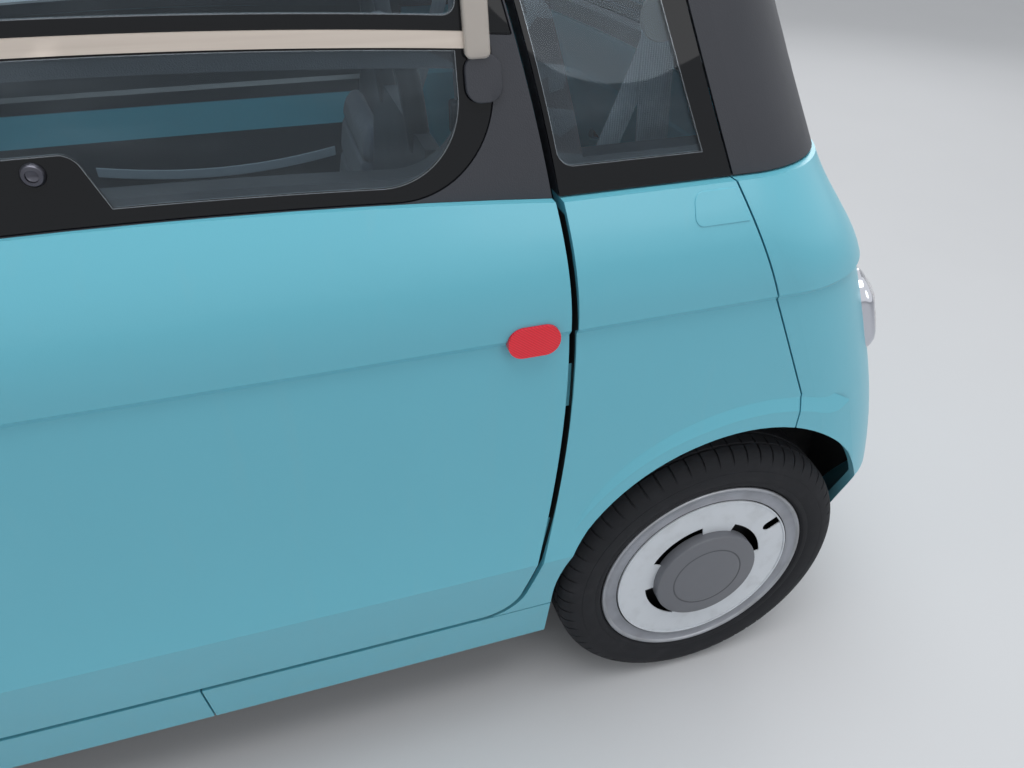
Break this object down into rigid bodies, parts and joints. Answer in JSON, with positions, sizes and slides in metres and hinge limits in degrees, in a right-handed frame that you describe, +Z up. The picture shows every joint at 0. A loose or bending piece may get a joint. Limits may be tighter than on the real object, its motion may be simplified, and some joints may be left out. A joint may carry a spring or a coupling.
{
  "type": "two-seat electric microcar",
  "caption": "Closed two-seat electric microcar with side-hinged doors, flap windows, steered front wheels and flat wheel covers.",
  "frame": {"origin": "on the ground under the centre of the car", "axes": "+Z up, +Y towards the tail, +X to the car's left"},
  "size_m": [1.589, 2.535, 1.53],
  "materials": {
    "body_paint": "dyed pale aqua plastic, satin",
    "liner_plastic": "pressed black liner",
    "glazing": "dark tinted",
    "black_plastic": "fine grained black plastic",
    "roof_plastic": "smooth black",
    "lamp_metal": "bright plated",
    "lens": "clear moulded",
    "frame_steel": "black coated",
    "unit_metal": "cast casing",
    "battery_case": "dark grey coated",
    "arm_steel": "dark cast",
    "seat_plastic": "grained black",
    "seat_fabric": "dark woven",
    "red_lens": "ribbed red",
    "tyre_rubber": "black tread rubber",
    "wheel_steel": "silver grey",
    "cover_white": "white with a grey cap"
  },
  "bodies": {
    "root": {"wings_left": "body_paint", "wings_right": "body_paint", "front_panel": "body_paint", "rear_panel": "body_paint", "sills": "body_paint", "wheel_liners": "liner_plastic", "fixed_glass": "glazing", "pillar_covers": "black_plastic", "window_frame": "black_plastic", "roof_glass": "glazing", "roof_frame": "roof_plastic", "lamp_housings": "lamp_metal", "lamp_lenses": "lens", "tube_frame": "frame_steel", "floor_pan": "frame_steel", "drive_block": "unit_metal", "battery_block": "battery_case", "front_arms": "arm_steel", "rear_suspension": "arm_steel", "dashboard": "body_paint", "steering_column": "black_plastic", "seat_shells": "seat_plastic", "seat_pads": "seat_fabric"},
    "steering_wheel": {"steering_wheel": "black_plastic"},
    "knuckle_left": {"knuckle_left": "arm_steel"},
    "knuckle_right": {"knuckle_right": "arm_steel"},
    "door_left": {"door_left_panel": "body_paint", "door_left_frame": "black_plastic", "door_left_glass": "glazing", "door_left_trim": "black_plastic", "door_left_reflector": "red_lens"},
    "door_right": {"door_right_panel": "body_paint", "door_right_frame": "black_plastic", "door_right_glass": "glazing", "door_right_trim": "black_plastic", "door_right_reflector": "red_lens"},
    "wheel_front_left": {"tyre_front_left": "tyre_rubber", "wheel_front_left": "wheel_steel", "cover_front_left": "cover_white"},
    "wheel_front_right": {"tyre_front_right": "tyre_rubber", "wheel_front_right": "wheel_steel", "cover_front_right": "cover_white"},
    "wheel_rear_left": {"tyre_rear_left": "tyre_rubber", "wheel_rear_left": "wheel_steel", "cover_rear_left": "cover_white"},
    "wheel_rear_right": {"tyre_rear_right": "tyre_rubber", "wheel_rear_right": "wheel_steel", "cover_rear_right": "cover_white"}
  },
  "joints": [
    {"name": "door_left_hinge", "type": "hinge", "parent": "root", "child": "door_left", "pos_m": [0.698, 0.572, 0.8], "axis": [0, 0, 1], "range_deg": [0, 68]},
    {"name": "door_right_hinge", "type": "hinge", "parent": "root", "child": "door_right", "pos_m": [-0.698, -0.572, 0.8], "axis": [0, 0, 1], "range_deg": [0, 68]},
    {"name": "steer_left", "type": "hinge", "parent": "root", "child": "knuckle_left", "pos_m": [0.528, -0.864, 0.275], "axis": [-0.2419, 0, 0.9703], "range_deg": [-30, 30]},
    {"name": "steer_right", "type": "hinge", "parent": "root", "child": "knuckle_right", "pos_m": [-0.528, -0.864, 0.275], "axis": [0.2419, 0, 0.9703], "range_deg": [-30, 30]},
    {"name": "steering_wheel_turn", "type": "hinge", "parent": "root", "child": "steering_wheel", "pos_m": [0.3, -0.395, 0.905], "axis": [0, 0.8829, 0.4695], "range_deg": [-425, 425]},
    {"name": "spin_front_left", "type": "hinge", "parent": "knuckle_left", "child": "wheel_front_left", "pos_m": [0.588, -0.864, 0.275], "axis": [1, 0, 0], "continuous": true},
    {"name": "spin_front_right", "type": "hinge", "parent": "knuckle_right", "child": "wheel_front_right", "pos_m": [-0.588, -0.864, 0.275], "axis": [1, 0, 0], "continuous": true},
    {"name": "spin_rear_left", "type": "hinge", "parent": "root", "child": "wheel_rear_left", "pos_m": [0.588, 0.864, 0.275], "axis": [1, 0, 0], "continuous": true},
    {"name": "spin_rear_right", "type": "hinge", "parent": "root", "child": "wheel_rear_right", "pos_m": [-0.588, 0.864, 0.275], "axis": [1, 0, 0], "continuous": true}
  ],
  "couplings": [
    {"joint": "steer_right", "follows": "steer_left", "ratio": 1},
    {"joint": "steering_wheel_turn", "follows": "steer_left", "ratio": 14}
  ]
}
